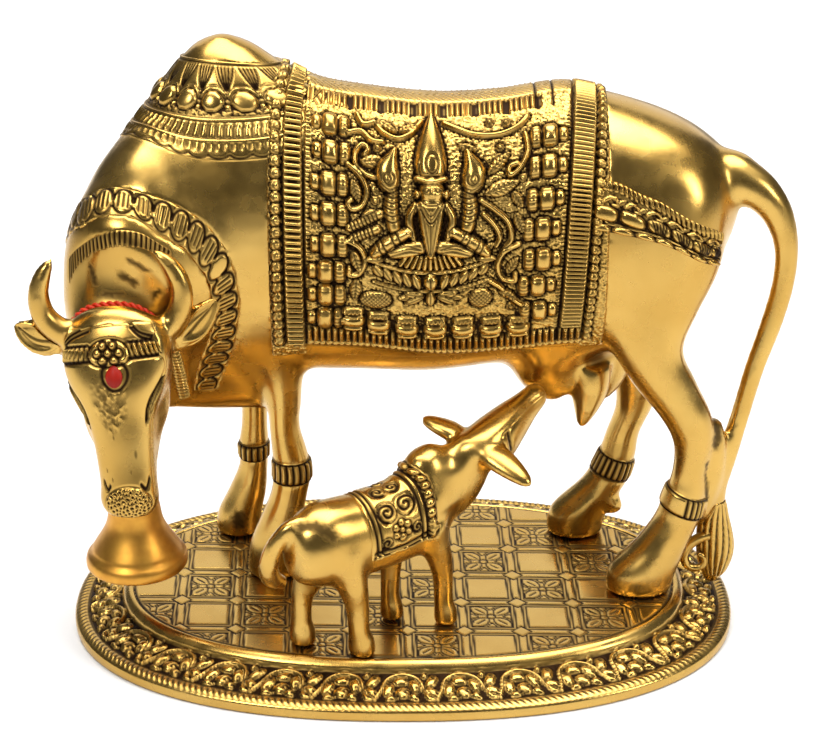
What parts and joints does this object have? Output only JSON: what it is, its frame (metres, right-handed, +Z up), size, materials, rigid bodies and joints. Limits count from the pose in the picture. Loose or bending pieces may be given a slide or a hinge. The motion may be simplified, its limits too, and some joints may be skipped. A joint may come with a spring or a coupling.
{
  "type": "cow and calf statue",
  "caption": "Gold-finished statue of a humped cow in a carved saddle cloth with a calf at its udder, a bell hanging on a red neck thread, on an oval carved plate.",
  "frame": {"origin": "centre of the plate's underside", "axes": "+X along the cow towards its tail, +Z up, -Y towards the side that the seated figure on the saddle cloth faces"},
  "size_m": [0.2495, 0.1468, 0.1989],
  "materials": {
    "plate_gold": "polished and chased, with dark wax in the recesses",
    "cow_gold": "polished and chased, with dark wax in the recesses",
    "calf_gold": "polished and chased, with dark wax in the recesses",
    "bell_satin": "turned, satin",
    "thread_red": "twisted glossy thread",
    "tilak_red": "glossy enamel"
  },
  "bodies": {
    "root": {"base_plate": "plate_gold", "cow": "cow_gold", "calf": "calf_gold", "bell": "bell_satin", "neck_thread": "thread_red", "tilak": "tilak_red"}
  },
  "joints": []
}
